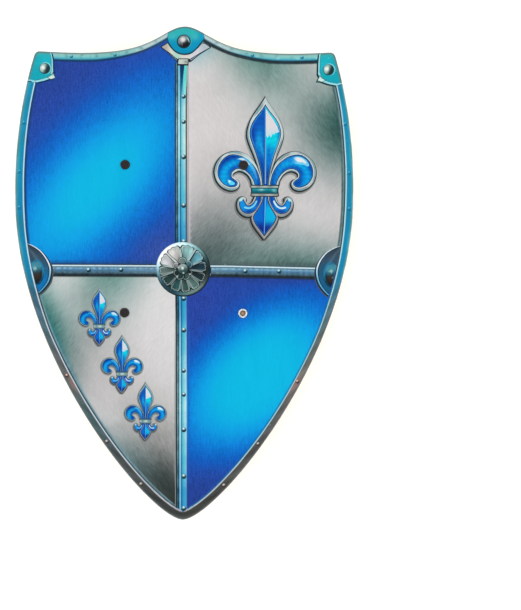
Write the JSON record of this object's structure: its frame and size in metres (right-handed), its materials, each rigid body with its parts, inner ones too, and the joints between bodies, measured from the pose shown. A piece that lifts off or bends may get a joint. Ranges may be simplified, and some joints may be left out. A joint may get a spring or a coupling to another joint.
{
  "type": "toy heater shield",
  "caption": "Flat plywood play shield in heater outline with a printed armour-plate face, plain wood back, black arm straps and rivets through the board.",
  "frame": {"origin": "centre of the bounding box in plan, at the level of the surface that the strap loops lie on; the shield lies face up", "axes": "+Z out of the decorated face, +Y from the tip to the centre peak of the top edge, +X to the right seen from the front"},
  "size_m": [0.3002, 0.438, 0.0375],
  "materials": {
    "printed_wood": "colour print under a satin clear coat, faint vertical wood grain showing through",
    "bare_plywood": "sanded pale birch veneer, matt, plies showing along the edge",
    "black_leather": "smooth black strap leather, satin",
    "steel_rivet": "nickel-plated tubular rivet, lightly rubbed"
  },
  "bodies": {
    "root": {"board": "printed_wood", "strap_left": "black_leather", "strap_right": "black_leather", "rivet_lower_left": "steel_rivet", "rivet_upper_left": "steel_rivet", "rivet_lower_right": "steel_rivet", "rivet_upper_right": "steel_rivet"}
  },
  "joints": []
}
